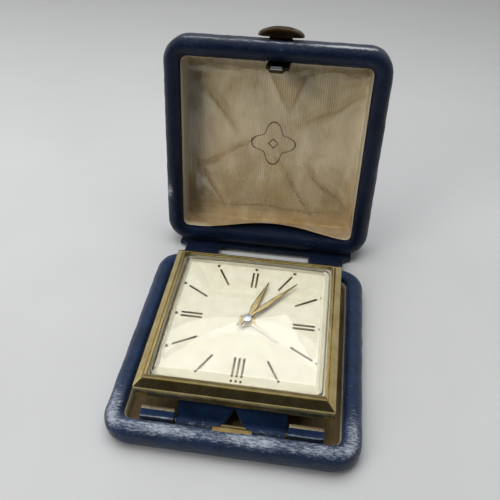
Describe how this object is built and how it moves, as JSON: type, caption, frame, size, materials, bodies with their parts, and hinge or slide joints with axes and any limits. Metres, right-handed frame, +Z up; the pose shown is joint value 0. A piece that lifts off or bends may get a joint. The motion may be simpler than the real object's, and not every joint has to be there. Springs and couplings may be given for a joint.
{
  "type": "folding travel alarm clock",
  "caption": "Folding travel alarm clock: square gilt-bezel clock in a leather tray, with a cloth-lined leather lid standing open behind it.",
  "frame": {"origin": "underside of the tray, at the middle of its width and depth", "axes": "+Z up, +Y from the tray's front rim towards the lid, +X to the right seen from the front"},
  "size_m": [0.082, 0.1221, 0.0857],
  "materials": {
    "leather": "grained leather over a stiff shell, worn along the edges",
    "tray_cloth": "ribbed brown lining cloth",
    "lid_cloth": "finely ribbed beige lining cloth",
    "film": "thin clear film, creased",
    "gilt": "gilt brass, worn and tarnished",
    "brass": "turned brass",
    "steel": "satin steel",
    "bronze": "dark bronzed brass",
    "dial": "silvered champagne dial, printed and applied marks",
    "crystal": "clear pressed acrylic"
  },
  "bodies": {
    "tray": {"tray_shell": "leather", "tray_lining": "tray_cloth", "tray_tab_left": "leather", "tray_tab_right": "leather", "catch_strip": "gilt", "tray_hinge_leaf": "brass", "lid_hinge_pin": "brass", "clock_hinge_pin": "brass"},
    "lid": {"lid_shell": "leather", "lid_lining": "lid_cloth", "lid_film": "film", "lid_hinge_leaf": "leather", "latch_spring": "steel"},
    "latch": {"latch_button": "bronze", "latch_hook": "bronze"},
    "clock": {"clock_hinge_strip": "leather", "carrier_plate": "leather", "bezel": "gilt", "crystal": "crystal", "dial_spacer": "steel", "dial": "dial", "movement_case": "steel", "back_cover": "gilt", "back_plate": "brass", "front_plate": "brass", "case_screw_1": "steel", "case_screw_2": "steel", "case_screw_3": "steel", "case_screw_4": "steel", "pillar_1": "brass", "pillar_2": "brass", "pillar_3": "brass", "pillar_4": "brass", "hairspring": "steel", "hairspring_stud": "steel"},
    "minute_work": {"centre_wheel": "brass", "minute_hand": "gilt", "hand_cap": "steel", "hand_set_knob": "gilt"},
    "hour_work": {"hour_wheel": "brass", "hour_hand": "gilt"},
    "minute_wheel": {"minute_wheel": "brass"},
    "third": {"third_wheel": "brass"},
    "fourth": {"fourth_wheel": "brass"},
    "escape": {"escape_wheel": "steel"},
    "pallet": {"pallet_lever": "steel"},
    "balance": {"balance_wheel": "brass"},
    "time_winding": {"time_barrel": "brass", "time_key": "gilt"},
    "alarm_winding": {"alarm_barrel": "brass", "alarm_key": "gilt"},
    "alarm_setting": {"alarm_set_arbor": "steel", "alarm_set_knob": "gilt"},
    "alarm_indicator": {"alarm_wheel": "brass", "alarm_hand": "brass"},
    "hammer": {"alarm_hammer": "steel"},
    "stop": {"alarm_stop": "gilt"}
  },
  "joints": [
    {"name": "lid_hinge", "type": "hinge", "parent": "tray", "child": "lid", "pos_m": [0, 0.04276, 0.00297], "axis": [-1, 0, 0], "range_deg": [-102.5, 2]},
    {"name": "latch_push", "type": "slide", "parent": "lid", "child": "latch", "axis": [0, -0.2164, -0.9763], "range_m": [0, 0.001], "stiffness_N_per_m": 400, "springref_m": -0.0005},
    {"name": "clock_hinge", "type": "hinge", "parent": "tray", "child": "clock", "pos_m": [0, -0.0321, 0.0052], "axis": [1, 0, 0], "range_deg": [0, 60]},
    {"name": "fourth_turn", "type": "hinge", "parent": "clock", "child": "fourth", "pos_m": [0.0136, -0.003, 0.009], "axis": [0, 0, -1], "continuous": true},
    {"name": "minute_turn", "type": "hinge", "parent": "clock", "child": "minute_work", "pos_m": [0, 0.002, 0.009], "axis": [0, 0, -1], "continuous": true},
    {"name": "hour_turn", "type": "hinge", "parent": "clock", "child": "hour_work", "pos_m": [0, 0.002, 0.009], "axis": [0, 0, -1], "continuous": true},
    {"name": "minute_wheel_turn", "type": "hinge", "parent": "clock", "child": "minute_wheel", "pos_m": [0.006, 0.0046, 0.009], "axis": [0, 0, -1], "continuous": true},
    {"name": "third_turn", "type": "hinge", "parent": "clock", "child": "third", "pos_m": [0.0065, -0.005, 0.009], "axis": [0, 0, -1], "continuous": true},
    {"name": "escape_turn", "type": "hinge", "parent": "clock", "child": "escape", "pos_m": [0.0156, 0.003, 0.009], "axis": [0, 0, -1], "continuous": true},
    {"name": "pallet_rock", "type": "hinge", "parent": "clock", "child": "pallet", "pos_m": [0.017, 0.0096, 0.009], "axis": [0, 0, -1], "range_deg": [-4, 4]},
    {"name": "balance_swing", "type": "hinge", "parent": "clock", "child": "balance", "pos_m": [0.0116, 0.016, 0.009], "axis": [0, 0, -1], "range_deg": [-135, 135]},
    {"name": "time_key_turn", "type": "hinge", "parent": "clock", "child": "time_winding", "pos_m": [-0.0085, 0.0092, 0.009], "axis": [0, 0, -1], "continuous": true},
    {"name": "alarm_key_turn", "type": "hinge", "parent": "clock", "child": "alarm_winding", "pos_m": [-0.012, -0.0104, 0.009], "axis": [0, 0, -1], "continuous": true},
    {"name": "alarm_set_turn", "type": "hinge", "parent": "clock", "child": "alarm_setting", "pos_m": [-0.0092, -0.0011, 0.009], "axis": [0, 0, -1], "continuous": true},
    {"name": "alarm_hand_turn", "type": "hinge", "parent": "clock", "child": "alarm_indicator", "pos_m": [0, 0.002, 0.009], "axis": [0, 0, -1], "continuous": true},
    {"name": "hammer_rock", "type": "hinge", "parent": "clock", "child": "hammer", "pos_m": [0.004, -0.0155, 0.009], "axis": [0, 0, -1], "range_deg": [-10, 10]},
    {"name": "alarm_stop_push", "type": "slide", "parent": "clock", "child": "stop", "axis": [0, 0, 1], "range_m": [0, 0.0009]}
  ],
  "couplings": [
    {"joint": "hour_turn", "follows": "minute_turn", "ratio": 0.083333},
    {"joint": "minute_wheel_turn", "follows": "minute_turn", "ratio": -0.21429},
    {"joint": "third_turn", "follows": "minute_turn", "ratio": -6},
    {"joint": "fourth_turn", "follows": "minute_turn", "ratio": 30},
    {"joint": "escape_turn", "follows": "minute_turn", "ratio": -154.29},
    {"joint": "alarm_hand_turn", "follows": "alarm_set_turn", "ratio": -0.25}
  ]
}
